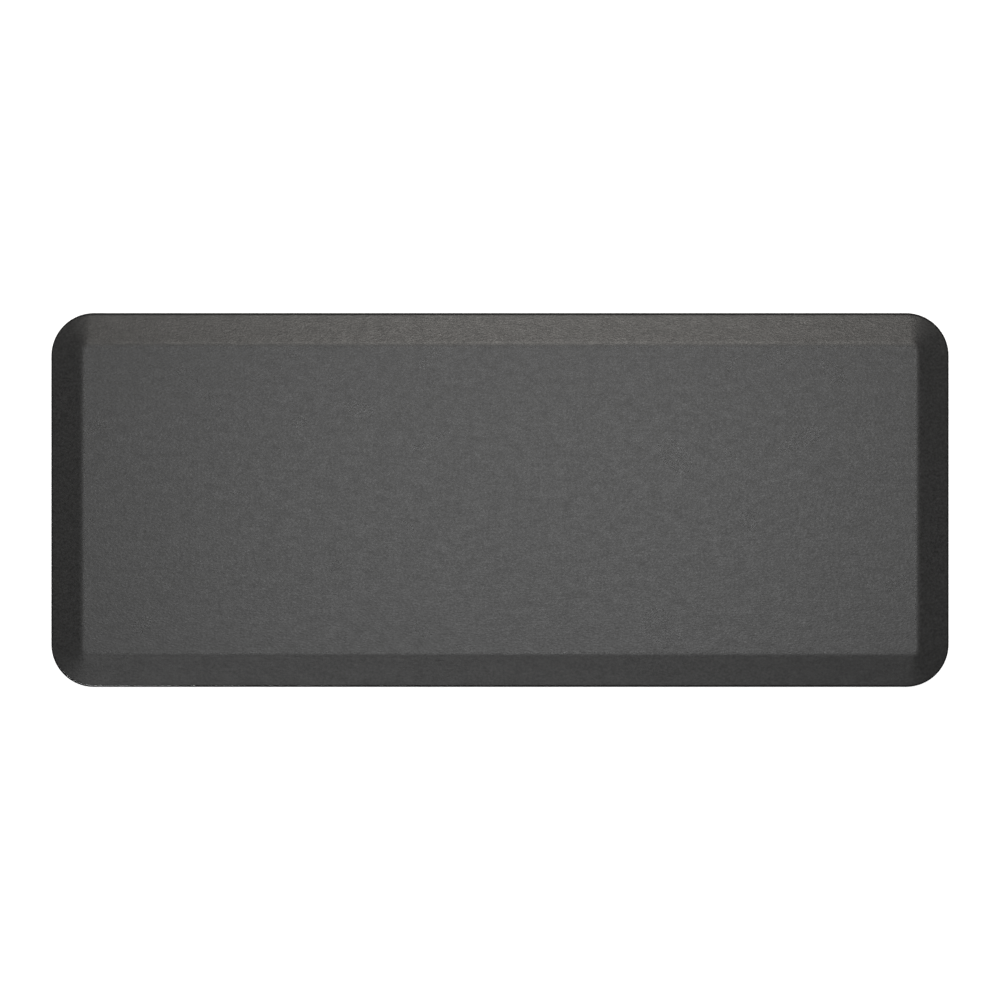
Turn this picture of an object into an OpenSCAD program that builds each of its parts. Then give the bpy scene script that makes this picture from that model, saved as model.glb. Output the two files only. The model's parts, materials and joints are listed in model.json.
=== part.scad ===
// Anti fatigue mat: an embossed skin moulded over two layers of foam, bonded to a non-slip base sheet.
// Millimetres. The origin is the centre of the underside, +X runs along the mat and +Z is up.

/* [Mat] */
// Overall length, along X
mat_length = 1219.2; // [600:0.1:2400]
// Overall width, along Y
mat_width = 508; // [400:0.1:900]
// Overall thickness, from the floor to the standing surface
mat_height = 19; // [15:0.5:26]
// Corner radius of the outline
corner_radius = 58; // [30:1:80]

/* [Bevelled border] */
// Plan width of the sloping border, from the outline to the ridge
bevel_width = 43; // [25:1:70]
// Corner radius of the ridge where the slope meets the standing surface
ridge_radius = 9; // [6:1:25]
// Half width of the softened band along the ridge
ridge_soften = 4; // [1:0.5:4]
// Height of the upright edge at the foot of the slope, measured from the floor
edge_height = 5; // [4.5:0.5:8]

/* [Skin] */
// Thickness of the skin
skin_thickness = 1.2; // [0.8:0.1:1.5]

/* [Foam] */
// Thickness of the lower, firmer foam layer
support_thickness = 7; // [4:0.5:8]

/* [Base sheet] */
// Thickness of the base sheet, with its grip pattern
base_thickness = 2.4; // [2:0.1:3]
// How far the base sheet stands out beyond the skin all round
base_rim = 1.7; // [0.4:0.1:2]
// Width of the flat band round the underside
band_width = 22; // [15:1:60]
// Depth of the recessed field that the grip studs stand in
grip_depth = 0.8; // [0.4:0.1:1.2]
// Diameter of one grip stud
stud_diameter = 10; // [6:0.5:16]
// Distance between neighbouring grip studs
stud_pitch = 38; // [30:1:60]

/* [Hidden] */

// Half of the outline and of the ridge rectangle
outline_half = [mat_length / 2, mat_width / 2];
ridge_half = [outline_half.x - bevel_width, outline_half.y - bevel_width];

// Rise of the slope for each millimetre in plan, and the height where the ridge begins to soften
slope_run = bevel_width - base_rim;
slope_rise = (mat_height - edge_height) / slope_run;
shoulder_height = mat_height - ridge_soften * slope_rise;

// Height of the plane where the two foam layers meet
foam_split = base_thickness + support_thickness;

// Grip field: half size, corner radius, and the number of studs each way
field_half = [outline_half.x - band_width, outline_half.y - band_width];
field_radius = corner_radius - min(band_width, corner_radius / 2);
stud_reach = [field_half.x - stud_diameter, field_half.y - stud_diameter];
row_pitch = stud_pitch * sin(60);
stud_rows = floor(stud_reach.y / row_pitch);
stud_columns = floor(stud_reach.x / stud_pitch);

// Thickness of the thin plates that a slope is stretched between, and the overcut of a cutter
plate = 0.5;
overcut = 1;
HULL_FN = 32;
STUD_FN = 24;

SKIN_COLOUR = [0.33, 0.33, 0.33];
COMFORT_COLOUR = [0.62, 0.64, 0.66];
SUPPORT_COLOUR = [0.24, 0.25, 0.27];
BASE_COLOUR = [0.07, 0.07, 0.07];

// Outline of a rectangle with round corners, from its half sizes, with true arcs
module rounded_outline(half, radius) {
    square([2 * half.x, 2 * (half.y - radius)], center = true);
    square([2 * (half.x - radius), 2 * half.y], center = true);
    for (x = [-1, 1], y = [-1, 1])
        translate([x * (half.x - radius), y * (half.y - radius)])
            circle(r = radius, $fn = 4 * HULL_FN);
}

// The four round corner posts of a plate whose upper face is at height top
module corner_posts(half, radius, bottom, top) {
    for (x = [-1, 1], y = [-1, 1])
        translate([x * (half.x - radius), y * (half.y - radius), bottom])
            cylinder(r = radius, h = top - bottom, $fn = HULL_FN);
}

// The mat above its base sheet, shrunk inwards by the given thickness and standing on bottom
module envelope(shrink, bottom) {
    foot_inset = base_rim + shrink;
    foot_half = [outline_half.x - foot_inset, outline_half.y - foot_inset];
    shoulder_half = [ridge_half.x + ridge_soften, ridge_half.y + ridge_soften];
    top_half = [ridge_half.x - ridge_soften, ridge_half.y - ridge_soften];
    shoulder_top = shoulder_height - shrink;
    mat_top = mat_height - shrink;
    hull() {
        corner_posts(foot_half, corner_radius - foot_inset, bottom, edge_height - shrink);
        corner_posts(shoulder_half, ridge_radius + ridge_soften, shoulder_top - plate, shoulder_top);
        corner_posts(top_half, ridge_radius - ridge_soften, mat_top - plate, mat_top);
    }
}

// A block that covers the whole mat between two heights
module layer(bottom, top) {
    translate([-mat_length / 2, -mat_width / 2, bottom])
        cube([mat_length, mat_width, top - bottom]);
}

// Embossed skin: standing surface, slopes and upright edge in one moulding, open underneath
module top_skin() {
    color(SKIN_COLOUR)
        difference() {
            envelope(0, base_thickness);
            envelope(skin_thickness, base_thickness - overcut);
        }
}

// Softer upper foam layer, under the standing surface
module comfort_foam() {
    color(COMFORT_COLOUR)
        intersection() {
            envelope(skin_thickness, base_thickness);
            layer(foam_split, mat_height);
        }
}

// Firmer lower foam layer, with the foot of the slopes
module support_foam() {
    color(SUPPORT_COLOUR)
        intersection() {
            envelope(skin_thickness, base_thickness);
            layer(base_thickness, foam_split);
        }
}

// Staggered rows of round studs, level with the flat band; the middle row leaves the exact centre free
module grip_studs() {
    for (row = [-stud_rows : stud_rows]) {
        stagger = abs(row) % 2 == 0 ? 0.5 : 0;
        last = stud_columns - 2 * stagger;
        for (column = [-stud_columns : last])
            translate([(column + stagger) * stud_pitch, row * row_pitch, 0])
                cylinder(d = stud_diameter, h = grip_depth, $fn = STUD_FN);
    }
}

// Non-slip base sheet: its edge shows round the skin, and its studs and flat band stand on the floor
module base_sheet() {
    color(BASE_COLOUR) {
        difference() {
            linear_extrude(base_thickness)
                rounded_outline(outline_half, corner_radius);
            translate([0, 0, -overcut])
                linear_extrude(grip_depth + overcut)
                    rounded_outline(field_half, field_radius);
        }
        grip_studs();
    }
}

top_skin();
comfort_foam();
support_foam();
base_sheet();
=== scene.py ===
"""The looks of an anti fatigue mat: a grained skin over two foam layers, on a black base sheet.

Metres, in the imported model's frame: the origin is the centre of the underside, +X runs along
the mat, +Z is up.
"""
import json
import math

import bmesh
import bpy
import numpy as np
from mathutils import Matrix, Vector, noise
from mathutils.geometry import delaunay_2d_cdt

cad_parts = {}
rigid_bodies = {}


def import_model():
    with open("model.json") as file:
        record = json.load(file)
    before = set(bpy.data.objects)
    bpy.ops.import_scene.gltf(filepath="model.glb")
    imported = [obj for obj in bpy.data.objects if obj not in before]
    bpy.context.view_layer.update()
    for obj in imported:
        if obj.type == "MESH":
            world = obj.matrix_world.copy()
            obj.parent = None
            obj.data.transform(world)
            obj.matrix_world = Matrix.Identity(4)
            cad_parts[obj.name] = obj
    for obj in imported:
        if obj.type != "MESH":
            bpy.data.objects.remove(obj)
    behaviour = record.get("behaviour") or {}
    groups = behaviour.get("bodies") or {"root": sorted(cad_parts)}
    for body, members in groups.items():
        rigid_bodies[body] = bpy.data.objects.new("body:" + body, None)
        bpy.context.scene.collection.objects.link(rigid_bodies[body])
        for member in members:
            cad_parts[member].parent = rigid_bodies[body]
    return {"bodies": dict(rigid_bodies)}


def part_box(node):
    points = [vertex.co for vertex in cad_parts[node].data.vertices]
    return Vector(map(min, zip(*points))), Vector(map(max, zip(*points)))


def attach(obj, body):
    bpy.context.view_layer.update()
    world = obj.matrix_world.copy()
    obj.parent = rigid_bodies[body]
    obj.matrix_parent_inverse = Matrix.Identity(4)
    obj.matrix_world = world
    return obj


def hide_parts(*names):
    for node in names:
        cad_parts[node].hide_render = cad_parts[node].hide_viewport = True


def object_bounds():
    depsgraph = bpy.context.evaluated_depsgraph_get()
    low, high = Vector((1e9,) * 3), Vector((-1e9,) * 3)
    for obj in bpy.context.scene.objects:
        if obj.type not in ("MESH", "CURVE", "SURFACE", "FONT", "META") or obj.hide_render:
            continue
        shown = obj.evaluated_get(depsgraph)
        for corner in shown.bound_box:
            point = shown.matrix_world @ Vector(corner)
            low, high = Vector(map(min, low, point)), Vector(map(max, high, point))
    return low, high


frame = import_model()
cad_low, cad_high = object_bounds()

MM = 0.001
BODY = next(iter(frame["bodies"]))

# Places that the frame gives
base_low, base_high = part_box("base_sheet")
skin_low, skin_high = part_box("top_skin")
comfort_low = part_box("comfort_foam")[0]
support_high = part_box("support_foam")[1]
BASE_HALF = np.array([base_high.x, base_high.y])
SKIN_HALF = np.array([skin_high.x, skin_high.y])
FLOOR_Z = base_low.z
SEAT_Z = skin_low.z              # where the skin sits on the base sheet
SPLIT_Z = comfort_low.z          # where the two foam layers meet
TOP_Z = skin_high.z
BASE_RIM = base_high.x - skin_high.x
SKIN_THICKNESS = skin_high.x - support_high.x

# Sizes of the shape that the boxes do not give
CORNER_RADIUS = 58 * MM
BEVEL_WIDTH = 43 * MM            # from the mat's outline to the ridge
RIDGE_RADIUS = 9 * MM            # corner radius of the ridge, in plan
RIDGE_SOFTEN = 4.0 * MM          # half width of the rounded band along the ridge
EDGE_HEIGHT = 5 * MM             # from the floor to the foot of the slope
SLOPE_HOLLOW = 0.15 * MM         # how far the slope sags below a straight line, half way up
LIP_ROUND = 2.4 * MM             # rounding at the top of the upright edge
TUCK_ROUND = 0.5 * MM            # rounding where the skin meets the base sheet
WAVE_HEIGHT = 0.07 * MM          # gentle unevenness of the standing surface
FOAM_GAP = 0.05 * MM             # between a foam layer and what is round it
FOAM_ROUND = 0.4 * MM            # rounding of a foam layer's cut edges
BAND_WIDTH = 22 * MM             # flat band round the underside
GRIP_DEPTH = 0.8 * MM            # depth of the recessed field, and height of its studs
STUD_RADIUS = 5 * MM
STUD_PITCH = 38 * MM
STUD_SIDES = 24
EVEN_ROW_SHIFT = 0.5             # in pitches, so the middle row leaves the exact centre free
EDGE_ROUND = 0.5 * MM            # rounding of the base sheet's edge
WAVE_BROAD = (6.1, 7.3)          # waves of the unevenness to the metre, along X and Y
WAVE_FINE = (17.0, 19.0)
WAVE_FINE_SHARE = 0.4

# The wall between the recessed field and the flat band: places past the band's width and heights
# over the floor, as shares of GRIP_DEPTH
GRIP_WALL = [(0.5, 1.0), (0.12, 0.3), (-0.3, 0.0)]

# Rings of one stud, from its foot to its flat end: shares of its radius and of its height
STUD_PROFILE = [(0.97, 0.35), (0.93, 0.65), (0.86, 0.86), (0.76, 0.97), (0.66, 1.0)]

# Colours and finish
SKIN_DARK = (0.006, 0.006, 0.006)
SKIN_LIGHT = (0.047, 0.047, 0.047)
SKIN_ROUGHNESS = 0.41
SKIN_RELIEF = 0.25 * MM
GLOSS_SPREAD = 0.055             # how far the skin's roughness varies either way
GRAIN_CELLS = (340, 440, 440)    # to the metre along each axis
TINT_CELLS = (280, 320, 320)
CREASE_CELLS = (250, 480, 250)
MOTTLE_CELLS = (60, 90, 60)
STREAKS_ALONG = (40, 240, 60)    # streaks that run along X
STREAKS_ACROSS = (240, 40, 60)
GRAIN_SHARE = 1.1                # of the grain in the polish, beside the pebbles
POLISH_RANGE = (1.4, 2.6)        # of the polish, from dull to glossy
TINT_SPREAD = (-0.05, 0.63)      # shares between the dark and the light colour
TINT_NOISE = (0.2, 0.8)          # the noise that gives them
STREAK_TINT = 0.33
# Rubber colours: the dark one comes with the dust's random tone and with painted shade in the
# recessed field
BASE_DARK = (0.006, 0.006, 0.006)
BASE_LIGHT = (0.022, 0.022, 0.022)
BASE_RELIEF = 0.08 * MM
BASE_PEBBLES = 700               # cells to the metre, as are the foams' pores
BASE_DUST = 45
BASE_SHINE = 0.25                # specular level of the rubber
BASE_ROUGHNESS = (0.55, 0.8)     # on the faces that touch the floor, and in the recess
# Foam colours: the dark one is neared at the pores' centres, as painted shade
COMFORT_DARK = (0.30, 0.32, 0.34)
COMFORT_LIGHT = (0.50, 0.52, 0.54)
SUPPORT_DARK = (0.035, 0.037, 0.040)
SUPPORT_LIGHT = (0.075, 0.078, 0.085)
FOAM_RELIEF = 0.3 * MM
FOAM_ROUGHNESS = (0.82, 0.95)
FOAM_MOTTLE = 14
FINE_PORES = 2.3                 # times as many fine pores as coarse ones along a line
COMFORT_PORES = 900
SUPPORT_PORES = 1400
FLOOR_COLOUR = (0.9, 0.9, 0.9)
FLOOR_GLOW = 0.58
FLOOR_ROUGHNESS = 0.9
FLOOR_REACH = 25.0
FLOOR_GAP = 0.1 * MM

# The camera: focal length and sensor in millimetres, and the mat's share of the picture's width
CAMERA_LENS = 100
CAMERA_SENSOR = 36
MAT_SHARE_OF_FRAME = 0.8968

# The lights: name, azimuth, angle from the vertical, distance, width, height, radiance and colour
LIGHTS = [
    ("overhead_left", 270, 7.5, 5.0, 1.0, 0.85, 13.9, (0.99, 1.0, 1.01)),
    ("overhead_right", 90, 9, 5.0, 1.0, 0.85, 16.1, (0.99, 1.0, 1.01)),
    ("back", 4, 36, 4.0, 2.1, 0.8, 13.9, (1.04, 1.0, 0.945)),
    ("front", 196, 42, 4.0, 3.4, 1.0, 3.0, (1.0, 1.0, 1.0)),
    ("below", 215, 140, 4.0, 2.0, 1.4, 50.0, (1.0, 1.0, 1.0)),
]
# The glow of the studio round the mat: height as a share of straight up, and radiance
DOME_STEPS = [(-0.01, 0.0), (0.01, 0.26), (0.25, 0.08), (0.5, 0.004)]
BACKDROP_STRENGTH = 0.85         # how pale the studio looks past the floor

# Points along one side of a ring: along X, along Y, and round one corner
RING_X = 112
RING_Y = 40
RING_CORNER = 24

# Steps along the skin's profile
TUCK_STEPS = 4
LIP_STEPS = 8
SLOPE_STEPS = 17
RIDGE_STEPS = 9
FIELD_STEPS = 4
EDGE_STEPS = 4                   # round each edge of the base sheet
FACE_POINTS = 5                  # across the flat faces of the foam and of the base sheet

# Angles in degrees past which an edge is drawn sharp
SHARP_ANGLE = 35
BASE_SHARP_ANGLE = 25

# Distances under which points and edges of a mesh count as one
SAME_POINT = 1e-7
SAME_EDGE = 1e-8


# ---------------------------------------------------------------- meshes

def ring_pattern():
    """Each point's corner centre, as shares of the half sizes, and its direction out from it."""
    hang, out = [], []
    sides = [((1, -1), (1, 1), RING_Y), ((1, 1), (-1, 1), RING_X),
             ((-1, 1), (-1, -1), RING_Y), ((-1, -1), (1, -1), RING_X)]
    for side, (start, end, count) in enumerate(sides):
        facing = math.radians(90 * side)
        for i in range(count):
            share = i / count
            hang.append([start[k] + (end[k] - start[k]) * share for k in (0, 1)])
            out.append([math.cos(facing), math.sin(facing)])
        for i in range(RING_CORNER):
            angle = facing + math.radians(90) * i / RING_CORNER
            hang.append(end)
            out.append([math.cos(angle), math.sin(angle)])
    return np.array(hang, float), np.array(out, float)


HANG, OUT = ring_pattern()


def ring(half, radius, z):
    """One closed ring of points round a rectangle with round corners."""
    flat = HANG * (np.array(half) - radius) + OUT * radius
    return np.column_stack([flat, np.full(len(flat), z)])


def grid(half, z):
    """The points of a flat grid whose border falls on a ring of no corner radius."""
    xs = np.linspace(-half[0], half[0], RING_X + 1)
    ys = np.linspace(-half[1], half[1], RING_Y + 1)
    return np.array([(x, y, z) for y in ys for x in xs])


class Builder:
    """Collects the points and faces of one mesh."""

    def __init__(self):
        self.points = []
        self.faces = []

    def add(self, points):
        first = len(self.points)
        self.points.extend(map(tuple, points))
        return list(range(first, len(self.points)))

    def bridge(self, a, b):
        """A band of quads between two closed rings of the same number of points."""
        count = len(a)
        for i in range(count):
            j = (i + 1) % count
            self.faces.append((a[i], a[j], b[j], b[i]))

    def cap(self, half, z):
        """A flat grid that closes a ring of no corner radius."""
        index = self.add(grid(half, z))
        row = RING_X + 1
        for j in range(RING_Y):
            for i in range(RING_X):
                a = index[j * row + i]
                self.faces.append((a, a + 1, a + 1 + row, a + row))

    def rings(self, rings):
        """Bands through a list of rings, and the indices of the last one."""
        last = self.add(rings[0])
        for points in rings[1:]:
            following = self.add(points)
            self.bridge(last, following)
            last = following
        return last

    def mesh(self, name, sharp_degrees=SHARP_ANGLE):
        """The finished mesh object, with shared points merged and normals outwards."""
        data = bpy.data.meshes.new(name)
        data.from_pydata(self.points, [], self.faces)
        work = bmesh.new()
        work.from_mesh(data)
        bmesh.ops.remove_doubles(work, verts=work.verts, dist=SAME_POINT)
        bmesh.ops.dissolve_degenerate(work, edges=work.edges, dist=SAME_EDGE)
        bmesh.ops.recalc_face_normals(work, faces=work.faces)
        for face in work.faces:
            face.smooth = True
        work.to_mesh(data)
        work.free()
        data.set_sharp_from_angle(angle=math.radians(sharp_degrees))
        piece = bpy.data.objects.new(name, data)
        bpy.context.scene.collection.objects.link(piece)
        return piece


SLOPE_RUN = BEVEL_WIDTH - BASE_RIM
SLOPE_RISE = TOP_Z - EDGE_HEIGHT
CAP_INSET = SLOPE_RUN + RIDGE_RADIUS


def slope_height(inset):
    """Height of the skin this far inside its outline: a hollow slope, then the flat field."""
    share = min(inset / SLOPE_RUN, 1)
    straight = EDGE_HEIGHT + SLOPE_RISE * share
    sagged = straight - SLOPE_HOLLOW * 4 * share * (1 - share)
    steepest = (SLOPE_RISE + 4 * SLOPE_HOLLOW) / SLOPE_RUN
    before = SLOPE_RUN + RIDGE_SOFTEN - inset
    if abs(inset - SLOPE_RUN) < RIDGE_SOFTEN:
        return TOP_Z - steepest * before ** 2 / (4 * RIDGE_SOFTEN)
    return sagged


def skin_radius(inset):
    """Corner radius of the skin's contour this far inside its outline, down to 0 at CAP_INSET."""
    outline = CORNER_RADIUS - BASE_RIM
    if inset < SLOPE_RUN:
        return outline + (RIDGE_RADIUS - outline) * inset / SLOPE_RUN
    return max(CAP_INSET - inset, 0)


def skin_profile():
    """(inset, height) points of the skin's outer face, from the base sheet to the flat field."""
    points = []
    for i in range(TUCK_STEPS):
        angle = math.radians(90) * i / TUCK_STEPS
        inset = TUCK_ROUND * (1 - math.sin(angle))
        points.append((inset, SEAT_Z + TUCK_ROUND * (1 - math.cos(angle))))
    first_grade = (SLOPE_RISE - 4 * SLOPE_HOLLOW) / SLOPE_RUN
    tilt = math.atan(first_grade)
    arc_end = LIP_ROUND * (1 - math.sin(tilt))
    arc_centre = slope_height(arc_end) - LIP_ROUND * math.cos(tilt)
    for i in range(LIP_STEPS + 1):
        angle = (math.radians(90) - tilt) * i / LIP_STEPS
        inset = LIP_ROUND * (1 - math.cos(angle))
        points.append((inset, arc_centre + LIP_ROUND * math.sin(angle)))
    ridge_start, ridge_end = SLOPE_RUN - RIDGE_SOFTEN, SLOPE_RUN + RIDGE_SOFTEN
    slope = np.linspace(arc_end, ridge_start, SLOPE_STEPS + 1)[1:]
    ridge = np.linspace(ridge_start, ridge_end, RIDGE_STEPS + 1)[1:]
    field = np.linspace(ridge_end, CAP_INSET, FIELD_STEPS + 1)[1:]
    points.extend((t, slope_height(t)) for t in (*slope, *ridge, *field))
    return points


def offset_inwards(profile, depth):
    """The profile moved inwards by depth, along its own normals, and kept above the base sheet."""
    line = np.array(profile)
    run = np.gradient(line, axis=0)
    run /= np.linalg.norm(run, axis=1)[:, None]
    moved = line + np.column_stack([run[:, 1], -run[:, 0]]) * depth
    moved[:, 0] = np.maximum(moved[:, 0], depth)
    moved[:, 1] = np.maximum(moved[:, 1], SEAT_Z)
    moved[0] = (depth, SEAT_Z)
    return [tuple(p) for p in moved]


def skin_rings(profile):
    """The rings that a profile inside the skin's outline sweeps round the mat."""
    return [ring(SKIN_HALF - t, skin_radius(t), z) for t, z in profile]


def closed_block(name, profile):
    """A closed solid swept from a profile, capped by a grid at both its ends, at CAP_INSET."""
    build = Builder()
    for inset, height in (profile[0], profile[-1]):
        build.cap(SKIN_HALF - inset, height)
    build.rings(skin_rings(profile))
    return build.mesh(name)


def unevenness(x, y):
    """A gentle wave of the surface, from 0 to 1, as foam has under a skin."""
    broad = noise.noise(Vector((x * WAVE_BROAD[0], y * WAVE_BROAD[1], 0.4)))
    fine = noise.noise(Vector((x * WAVE_FINE[0], y * WAVE_FINE[1], 3.7)))
    return min(max(0.5 + 0.5 * (broad + WAVE_FINE_SHARE * fine), 0), 1)


def let_surface_wave(piece):
    """Lowers the skin's outer face a little here and there, most on the standing surface."""
    places = np.zeros(len(piece.data.vertices) * 3)
    normals = np.zeros(len(piece.data.vertices) * 3)
    piece.data.vertices.foreach_get("co", places)
    piece.data.vertices.foreach_get("normal", normals)
    places, facing = places.reshape(-1, 3), normals.reshape(-1, 3)[:, 2]
    rise = np.clip((places[:, 2] - EDGE_HEIGHT) / (TOP_Z - EDGE_HEIGHT), 0, 1)
    for i in np.nonzero((facing > 0.5) & (rise > 0))[0]:
        places[i, 2] -= WAVE_HEIGHT * rise[i] * unevenness(places[i, 0], places[i, 1])
    piece.data.vertices.foreach_set("co", places.ravel())
    piece.data.update()


def make_skin():
    """The moulded skin, one closed shell: outer face, rim and inner face."""
    outer = skin_profile()
    inner = offset_inwards(outer, SKIN_THICKNESS)
    inner[-1] = (CAP_INSET, TOP_Z - SKIN_THICKNESS)
    piece = closed_block("skin_cover", [*reversed(inner), *outer])
    let_surface_wave(piece)
    return piece


def at_height(profile, height):
    """The inset at which a profile passes a height."""
    insets, heights = np.array(profile).T
    return float(np.interp(height, heights, insets))


def foam_profile(bottom, top):
    """The side of a foam layer between two heights, a hair inside the skin, and its cut faces."""
    wall = offset_inwards(skin_profile(), SKIN_THICKNESS + FOAM_GAP)
    wall[-1] = (CAP_INSET, wall[-1][1])
    side = [p for p in wall if bottom < p[1] < top and p[0] < CAP_INSET]
    low = at_height(wall[1:], bottom)
    under = [(t, bottom) for t in np.linspace(CAP_INSET, low + FOAM_ROUND, FACE_POINTS)]
    if top > wall[-1][1]:
        return [*under, (low, bottom + FOAM_ROUND), *side, wall[-1]]
    high = at_height(wall[1:], top)
    over = [(t, top) for t in np.linspace(high + FOAM_ROUND, CAP_INSET, FACE_POINTS)]
    side = [p for p in side if bottom + FOAM_ROUND < p[1] < top - FOAM_ROUND]
    return [*under, (low, bottom + FOAM_ROUND), *side, (high, top - FOAM_ROUND), *over]


def make_comfort_foam():
    """The soft upper layer, cut flat below and rounded with the skin above."""
    return closed_block("comfort_foam_layer", foam_profile(SPLIT_Z + FOAM_GAP, TOP_Z))


def make_support_foam():
    """The firm lower layer, with the foot of the slopes."""
    return closed_block("support_foam_layer", foam_profile(SEAT_Z + FOAM_GAP, SPLIT_Z))


def stud_places():
    """Centres of the grip studs: staggered rows, as the base sheet has them."""
    row_pitch = STUD_PITCH * math.sin(math.radians(60))
    reach = BASE_HALF - BAND_WIDTH - 2 * STUD_RADIUS
    rows, columns = int(reach[1] / row_pitch), int(reach[0] / STUD_PITCH)
    places = []
    for row in range(-rows, rows + 1):
        shift = EVEN_ROW_SHIFT if row % 2 == 0 else 0
        for column in range(-columns, columns + 1 - int(2 * shift)):
            places.append(((column + shift) * STUD_PITCH, row * row_pitch))
    return places


def stud_ring(place, radius, z):
    """One ring of points round a stud."""
    turn = [math.tau * i / STUD_SIDES for i in range(STUD_SIDES)]
    return [(place[0] + radius * math.cos(a), place[1] + radius * math.sin(a), z) for a in turn]


def fill_round_studs(build, border, feet):
    """Triangles over the recessed field, between its border and the feet of the studs."""
    corners = [*border, *(i for foot in feet for i in foot)]
    loops = [list(range(len(border)))]
    for k in range(len(feet)):
        first = len(border) + k * STUD_SIDES
        loops.append(list(range(first, first + STUD_SIDES)))
    edges = [(loop[i], loop[(i + 1) % len(loop)]) for loop in loops for i in range(len(loop))]
    flat = [Vector(build.points[i][:2]) for i in corners]
    found = delaunay_2d_cdt(flat, edges, [], 0, SAME_POINT)
    origin = [source[0] for source in found[3]]
    owner = [-1] * len(border) + [k for k in range(len(feet)) for _ in range(STUD_SIDES)]
    for face in found[2]:
        owners = {owner[origin[i]] for i in face}
        inside_stud = len(owners) == 1 and -1 not in owners
        if not inside_stud and owners != {-1}:
            build.faces.append(tuple(corners[origin[i]] for i in face))


def raise_stud(build, place, foot, ceiling):
    """Bands from a stud's foot down to its flat end, and the end itself."""
    last = foot
    for radius_share, height_share in STUD_PROFILE:
        z = ceiling - GRIP_DEPTH * height_share
        following = build.add(stud_ring(place, STUD_RADIUS * radius_share, z))
        build.bridge(last, following)
        last = following
    build.faces.append(tuple(last))


def add_studded_field(build, border):
    """The recessed field inside a ring of points, with its studs."""
    ceiling = FLOOR_Z + GRIP_DEPTH
    places = stud_places()
    feet = [build.add(stud_ring(place, STUD_RADIUS, ceiling)) for place in places]
    fill_round_studs(build, border, feet)
    for place, foot in zip(places, feet):
        raise_stud(build, place, foot, ceiling)


def base_rings(profile):
    """The rings that a profile inside the base sheet's outline sweeps round it."""
    return [ring(BASE_HALF - t, max(CORNER_RADIUS - t, 0), z) for t, z in profile]


def quarter(centre, radius, start):
    """Points of a quarter circle in a profile, clockwise from the angle start, in degrees."""
    turn = [math.radians(start - 90 * i / EDGE_STEPS) for i in range(EDGE_STEPS + 1)]
    return [(centre[0] + radius * math.cos(a), centre[1] + radius * math.sin(a)) for a in turn]


def make_base():
    """The base sheet: rounded edge, flat band and recessed field with grip studs below."""
    profile = [(BAND_WIDTH + GRIP_DEPTH * a, FLOOR_Z + GRIP_DEPTH * b) for a, b in GRIP_WALL]
    profile += [(BAND_WIDTH * 0.5, FLOOR_Z)]
    profile += quarter((EDGE_ROUND, FLOOR_Z + EDGE_ROUND), EDGE_ROUND, 270)
    profile += quarter((EDGE_ROUND, SEAT_Z - EDGE_ROUND), EDGE_ROUND, 180)
    top_face = np.linspace(BAND_WIDTH * 0.5, CORNER_RADIUS, FACE_POINTS)
    profile += [(t, SEAT_Z) for t in top_face]
    build = Builder()
    rings = base_rings(profile)
    build.rings(rings)
    build.cap(BASE_HALF - CORNER_RADIUS, SEAT_Z)
    border = list(range(len(rings[0])))
    add_studded_field(build, border)
    return build.mesh("base_sheet_grip", BASE_SHARP_ANGLE)


# ---------------------------------------------------------------- materials

def material(name):
    """An empty node material: its node tree, and its Principled shader."""
    made = bpy.data.materials.new(name)
    made.use_nodes = True
    return made, made.node_tree, made.node_tree.nodes["Principled BSDF"]


def node(tree, kind, **settings):
    """A new node, with its own settings and input values given by name."""
    made = tree.nodes.new(kind)
    for key, value in settings.items():
        if hasattr(made, key):
            setattr(made, key, value)
        else:
            made.inputs[key.replace("_", " ")].default_value = value
    return made


def stretched_place(tree, scale):
    """The piece's own coordinates, in metres, multiplied along each axis."""
    place = node(tree, "ShaderNodeTexCoord")
    mapping = node(tree, "ShaderNodeMapping", Scale=scale)
    tree.links.new(place.outputs["Object"], mapping.inputs["Vector"])
    return mapping.outputs["Vector"]


def height_in(tree, coordinates):
    """The Z of a kind of texture coordinates."""
    place = node(tree, "ShaderNodeTexCoord")
    parts = node(tree, "ShaderNodeSeparateXYZ")
    tree.links.new(place.outputs[coordinates], parts.inputs[0])
    return parts.outputs["Z"]


def noise_field(tree, scale, detail=2.0, roughness=0.5):
    """A noise over the piece, with this many cells to the metre along each axis."""
    field = node(tree, "ShaderNodeTexNoise", Scale=1.0, Detail=detail, Roughness=roughness)
    tree.links.new(stretched_place(tree, scale), field.inputs["Vector"])
    return field.outputs["Fac"]


def cells(tree, scale):
    """Distance to the nearest of many scattered points, this many to the metre along each axis."""
    field = node(tree, "ShaderNodeTexVoronoi", feature="F1", Scale=1.0)
    tree.links.new(stretched_place(tree, scale), field.inputs["Vector"])
    return field.outputs["Distance"]


def evenly(number):
    """The same number along each axis."""
    return (number, number, number)


def ranged(tree, value, low, high, from_low=0.0, from_high=1.0):
    """A value carried from one range to another."""
    made = node(tree, "ShaderNodeMapRange")
    tree.links.new(value, made.inputs["Value"])
    limits = {"From Min": from_low, "From Max": from_high, "To Min": low, "To Max": high}
    for key, number in limits.items():
        made.inputs[key].default_value = number
    return made.outputs["Result"]


def blended(tree, share, low_colour, high_colour):
    """A colour between two, by a share."""
    made = node(tree, "ShaderNodeMix", data_type="RGBA")
    tree.links.new(share, made.inputs["Factor"])
    made.inputs[6].default_value = (*low_colour, 1)
    made.inputs[7].default_value = (*high_colour, 1)
    return made.outputs[2]


def sum_of(tree, first, second, share):
    """first plus second times share."""
    made = node(tree, "ShaderNodeMath", operation="MULTIPLY_ADD")
    tree.links.new(second, made.inputs[0])
    made.inputs[1].default_value = share
    tree.links.new(first, made.inputs[2])
    return made.outputs[0]


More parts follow.
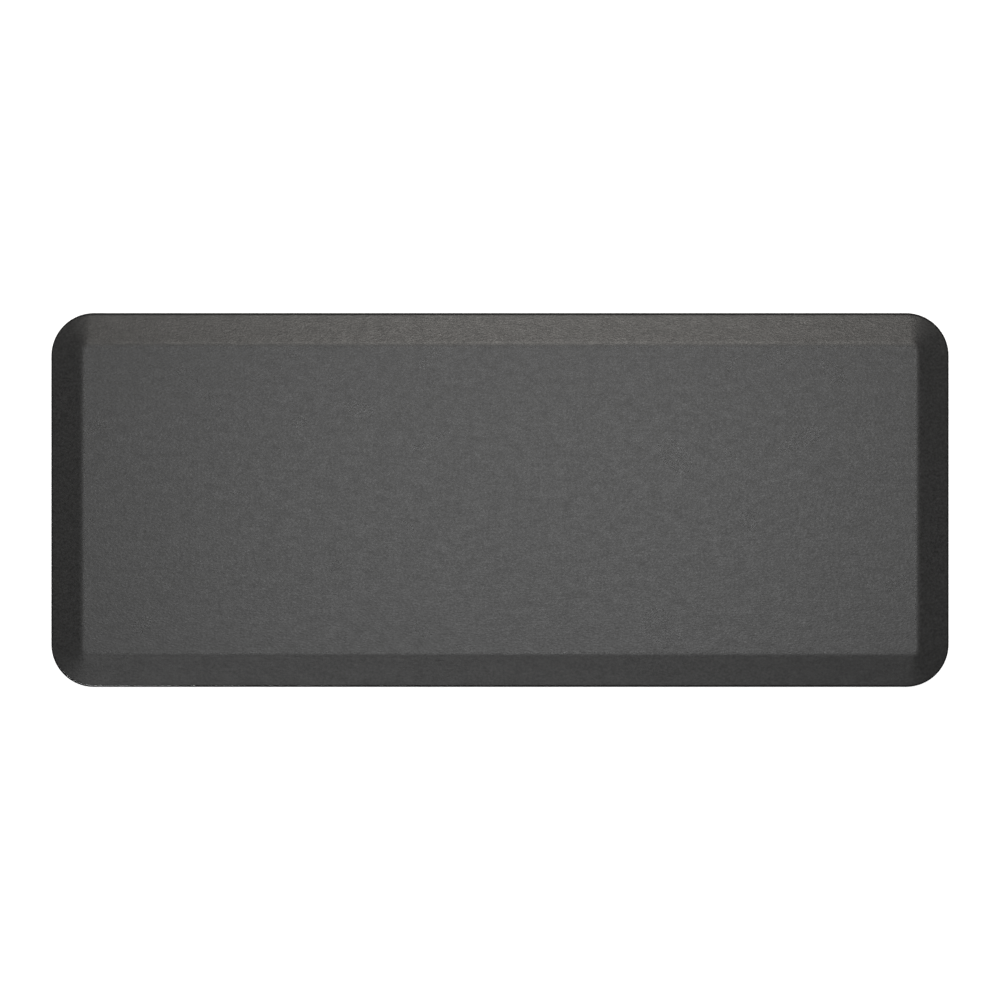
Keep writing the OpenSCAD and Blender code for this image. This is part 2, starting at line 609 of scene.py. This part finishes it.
def raised(tree, height, depth):
    """A bump of this depth in metres."""
    made = node(tree, "ShaderNodeBump", Strength=1.0, Distance=depth)
    tree.links.new(height, made.inputs["Height"])
    return made.outputs["Normal"]


def skin_material():
    """Satin charcoal polyurethane whose grain varies in gloss, in tint and in relief."""
    made, tree, shader = material("charcoal_skin")
    pebble = ranged(tree, cells(tree, GRAIN_CELLS), 1.0, 0.0, 0.1, 0.8)
    grain = noise_field(tree, GRAIN_CELLS, detail=3.0, roughness=0.65)
    mottle = noise_field(tree, MOTTLE_CELLS, detail=4.0)
    streaks = sum_of(tree, mottle, noise_field(tree, STREAKS_ALONG), 0.5)
    streaks = sum_of(tree, streaks, noise_field(tree, STREAKS_ACROSS), 0.35)
    polish = sum_of(tree, sum_of(tree, pebble, grain, GRAIN_SHARE), streaks, 1.0)
    dull, glossy = SKIN_ROUGHNESS + GLOSS_SPREAD, SKIN_ROUGHNESS - GLOSS_SPREAD
    rough = ranged(tree, polish, dull, glossy, *POLISH_RANGE)
    tint = ranged(tree, noise_field(tree, TINT_CELLS), *TINT_SPREAD, *TINT_NOISE)
    tone = sum_of(tree, tint, streaks, STREAK_TINT)
    tree.links.new(blended(tree, tone, SKIN_DARK, SKIN_LIGHT), shader.inputs["Base Color"])
    tree.links.new(rough, shader.inputs["Roughness"])
    creases = raised(tree, noise_field(tree, CREASE_CELLS), SKIN_RELIEF)
    tree.links.new(creases, shader.inputs["Normal"])
    return made


def base_material():
    """Black non-slip rubber, finely pebbled, with painted shade in the recess; the studs' ends and
    the flat band are smoother.
    """
    made, tree, shader = material("black_rubber")
    pebble = cells(tree, evenly(BASE_PEBBLES))
    dust = noise_field(tree, evenly(BASE_DUST), detail=4.0)
    sole, sunk = FLOOR_Z + 0.1 * GRIP_DEPTH, FLOOR_Z + 0.7 * GRIP_DEPTH
    # how far a point lies down in the recess: it dulls the finish, and it darkens the colour as
    # painted shade
    recess = ranged(tree, height_in(tree, "Object"), 0.0, 1.0, sole, sunk)
    relief = sum_of(tree, ranged(tree, pebble, 1.0, 0.0, 0.1, 0.7), dust, 0.2)
    # tone: the dust's random tone, with painted shade taking it darker in the recessed field
    tone = sum_of(tree, dust, recess, -0.5)
    tree.links.new(blended(tree, tone, BASE_DARK, BASE_LIGHT), shader.inputs["Base Color"])
    tree.links.new(ranged(tree, recess, *BASE_ROUGHNESS), shader.inputs["Roughness"])
    shader.inputs["Specular IOR Level"].default_value = BASE_SHINE
    tree.links.new(raised(tree, relief, BASE_RELIEF), shader.inputs["Normal"])
    return made


def foam_material(name, dark, light, pores_per_metre):
    """Cut polyurethane foam: round pores of two sizes, darkened as painted shade, and a matte,
    slightly mottled body.
    """
    made, tree, shader = material(name)
    coarse = cells(tree, evenly(pores_per_metre))
    fine = cells(tree, evenly(pores_per_metre * FINE_PORES))
    mottle = noise_field(tree, evenly(FOAM_MOTTLE), detail=3.0)
    coarse_hollow = ranged(tree, coarse, 0.0, 1.0, 0.15, 0.5)
    fine_hollow = ranged(tree, fine, 0.0, 1.0, 0.1, 0.5)
    hollow = sum_of(tree, coarse_hollow, fine_hollow, 0.5)
    # painted shade: the colour runs darker towards each pore's centre, where the bump dents the
    # surface, beside a random mottle
    body = sum_of(tree, ranged(tree, hollow, 0.0, 0.8, 0.0, 1.5), mottle, 0.3)
    tree.links.new(blended(tree, body, dark, light), shader.inputs["Base Color"])
    tree.links.new(ranged(tree, mottle, *FOAM_ROUGHNESS), shader.inputs["Roughness"])
    tree.links.new(raised(tree, hollow, FOAM_RELIEF), shader.inputs["Normal"])
    return made


def floor_material():
    """A pale matte studio floor that glows a little, and is clear from below."""
    made, tree, shader = material("pale_floor")
    shader.inputs["Base Color"].default_value = (*FLOOR_COLOUR, 1)
    shader.inputs["Roughness"].default_value = FLOOR_ROUGHNESS
    shader.inputs["Specular IOR Level"].default_value = 0.0
    shader.inputs["Emission Color"].default_value = (1, 1, 1, 1)
    shader.inputs["Emission Strength"].default_value = FLOOR_GLOW
    clear = node(tree, "ShaderNodeBsdfTransparent")
    mixed = node(tree, "ShaderNodeMixShader")
    tree.links.new(node(tree, "ShaderNodeNewGeometry").outputs["Backfacing"], mixed.inputs[0])
    tree.links.new(shader.outputs[0], mixed.inputs[1])
    tree.links.new(clear.outputs[0], mixed.inputs[2])
    tree.links.new(mixed.outputs[0], tree.nodes["Material Output"].inputs["Surface"])
    return made


# ---------------------------------------------------------------- stage

def softbox(name, place, width, height, strength, colour):
    """A soft rectangular light of this radiance, turned to the mat and unseen by the camera."""
    light = bpy.data.lights.new(name, "AREA")
    light.shape = "RECTANGLE"
    light.size = width
    light.size_y = height
    light.energy = strength * math.pi * width * height
    light.color = colour
    lamp = bpy.data.objects.new(name, light)
    lamp.location = place
    lamp.rotation_euler = (-Vector(place)).to_track_quat("-Z", "Y").to_euler()
    lamp.visible_camera = False
    bpy.context.scene.collection.objects.link(lamp)
    return lamp


def on_dome(azimuth, from_vertical, distance):
    """A point round the mat: azimuth 0 is behind it, towards +Y, and 90 is to its right."""
    a, v = math.radians(azimuth), math.radians(from_vertical)
    out = distance * math.sin(v)
    return (out * math.sin(a), out * math.cos(a), distance * math.cos(v))


def make_lights():
    """The plain soft studio rig."""
    for name, azimuth, from_vertical, distance, width, height, strength, colour in LIGHTS:
        softbox(name, on_dome(azimuth, from_vertical, distance), width, height, strength, colour)
    make_world()


def two_more(ramp):
    """The four steps of a colour ramp that starts with two."""
    ramp.elements.new(0.4)
    ramp.elements.new(0.6)
    return sorted(ramp.elements, key=lambda step: step.position)


def dome_glow(tree):
    """The studio's glow by height, as DOME_STEPS gives it."""
    dome = node(tree, "ShaderNodeValToRGB")
    upwards = ranged(tree, height_in(tree, "Generated"), 0.0, 1.0, -1.0, 1.0)
    tree.links.new(upwards, dome.inputs[0])
    for step, (height, glow) in zip(two_more(dome.color_ramp), DOME_STEPS):
        step.position = 0.5 + height / 2
        step.color = (glow, glow, glow, 1)
    return dome.outputs[0]


def make_world():
    """A dim studio, paler low down, which looks plain and pale where the floor has ended."""
    world = bpy.data.worlds.new("studio")
    world.use_nodes = True
    tree = world.node_tree
    surround = tree.nodes["Background"]
    tree.links.new(dome_glow(tree), surround.inputs["Color"])
    surround.inputs["Strength"].default_value = 1
    pale = node(tree, "ShaderNodeBackground", Color=(1, 1, 1, 1), Strength=BACKDROP_STRENGTH)
    mixed = node(tree, "ShaderNodeMixShader")
    tree.links.new(node(tree, "ShaderNodeLightPath").outputs["Is Camera Ray"], mixed.inputs[0])
    tree.links.new(surround.outputs[0], mixed.inputs[1])
    tree.links.new(pale.outputs[0], mixed.inputs[2])
    tree.links.new(mixed.outputs[0], tree.nodes["World Output"].inputs["Surface"])
    bpy.context.scene.world = world


def make_camera():
    """Straight above the middle of the mat, with the mat's back at the top of the picture."""
    camera = bpy.data.objects.new("camera", bpy.data.cameras.new("camera"))
    camera.data.lens = CAMERA_LENS
    camera.data.sensor_width = CAMERA_SENSOR
    camera.data.dof.use_dof = False
    frame_width = (cad_high.x - cad_low.x) / MAT_SHARE_OF_FRAME
    height = frame_width * CAMERA_LENS / CAMERA_SENSOR
    middle = (cad_low + cad_high) / 2
    camera.location = (middle.x, middle.y, FLOOR_Z + height)
    camera.data.clip_start = height / 100
    camera.data.clip_end = height * 100
    bpy.context.scene.collection.objects.link(camera)
    bpy.context.scene.camera = camera


def make_floor():
    """One wide plane just under the mat."""
    data = bpy.data.meshes.new("floor")
    reach, z = FLOOR_REACH, FLOOR_Z - FLOOR_GAP
    corners = [(-reach, -reach, z), (reach, -reach, z), (reach, reach, z), (-reach, reach, z)]
    data.from_pydata(corners, [], [(0, 1, 2, 3)])
    floor = bpy.data.objects.new("floor", data)
    bpy.context.scene.collection.objects.link(floor)
    data.materials.append(floor_material())
    floor.visible_shadow = False
    floor.visible_glossy = False


def dress(piece, surface, node_name):
    """Gives a piece its material and its body, and hides the CAD node it stands for."""
    piece.data.materials.append(surface)
    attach(piece, BODY)
    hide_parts(node_name)


bpy.context.scene.view_settings.view_transform = "Standard"
make_camera()
make_lights()
make_floor()
dress(make_skin(), skin_material(), "top_skin")
comfort_surface = foam_material("comfort_foam_cells", COMFORT_DARK, COMFORT_LIGHT, COMFORT_PORES)
dress(make_comfort_foam(), comfort_surface, "comfort_foam")
support_surface = foam_material("support_foam_cells", SUPPORT_DARK, SUPPORT_LIGHT, SUPPORT_PORES)
dress(make_support_foam(), support_surface, "support_foam")
dress(make_base(), base_material(), "base_sheet")
